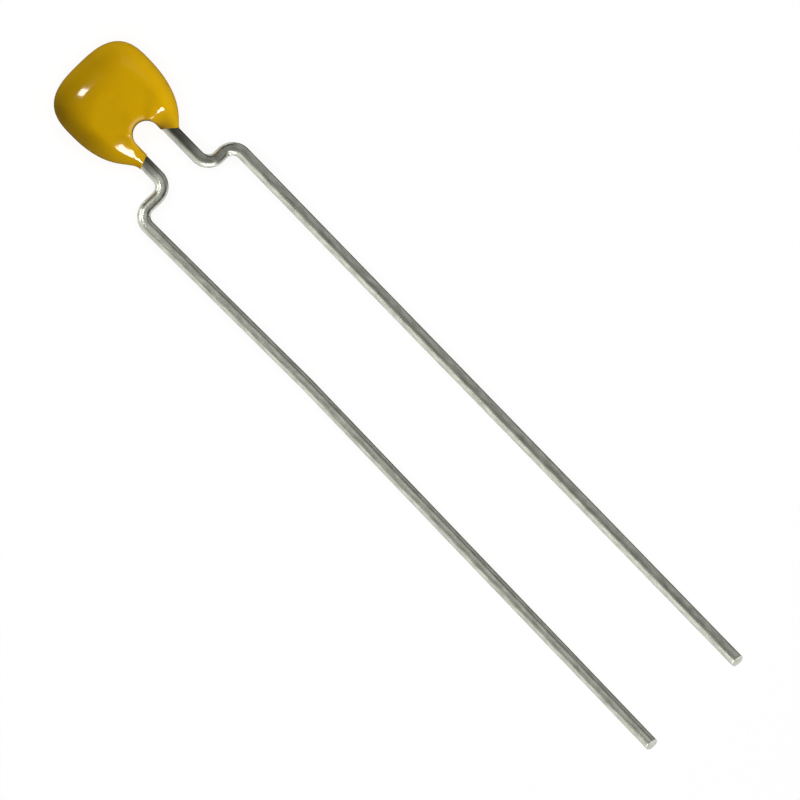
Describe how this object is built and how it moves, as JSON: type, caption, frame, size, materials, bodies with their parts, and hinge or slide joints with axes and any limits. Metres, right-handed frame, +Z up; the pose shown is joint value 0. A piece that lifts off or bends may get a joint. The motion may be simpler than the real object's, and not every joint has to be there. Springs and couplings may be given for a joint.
{
  "type": "multilayer ceramic capacitor",
  "caption": "Radial-leaded ceramic capacitor with a golden dipped epoxy body and two kinked tinned wire leads for through-hole boards.",
  "frame": {"origin": "middle of the box around the part, on the surface that it lies on", "axes": "+X towards the right lead, +Y from the lead tips to the body, +Z up from the surface"},
  "size_m": [0.0055, 0.0364, 0.0025],
  "materials": {
    "epoxy": "glossy golden-yellow dipped epoxy",
    "ceramic": "matte fired ceramic",
    "electrode": "matte sintered metal",
    "termination": "matte fired metal",
    "solder": "satin solder",
    "tinned_wire": "drawn and tinned, satin"
  },
  "bodies": {
    "root": {"epoxy_coating": "epoxy", "ceramic_block": "ceramic", "electrode_1": "electrode", "electrode_2": "electrode", "electrode_3": "electrode", "electrode_4": "electrode", "electrode_5": "electrode", "electrode_6": "electrode", "electrode_7": "electrode", "electrode_8": "electrode", "electrode_9": "electrode", "electrode_10": "electrode", "electrode_11": "electrode", "electrode_12": "electrode", "left_termination": "termination", "left_solder": "solder", "left_lead": "tinned_wire", "right_termination": "termination", "right_solder": "solder", "right_lead": "tinned_wire"}
  },
  "joints": []
}
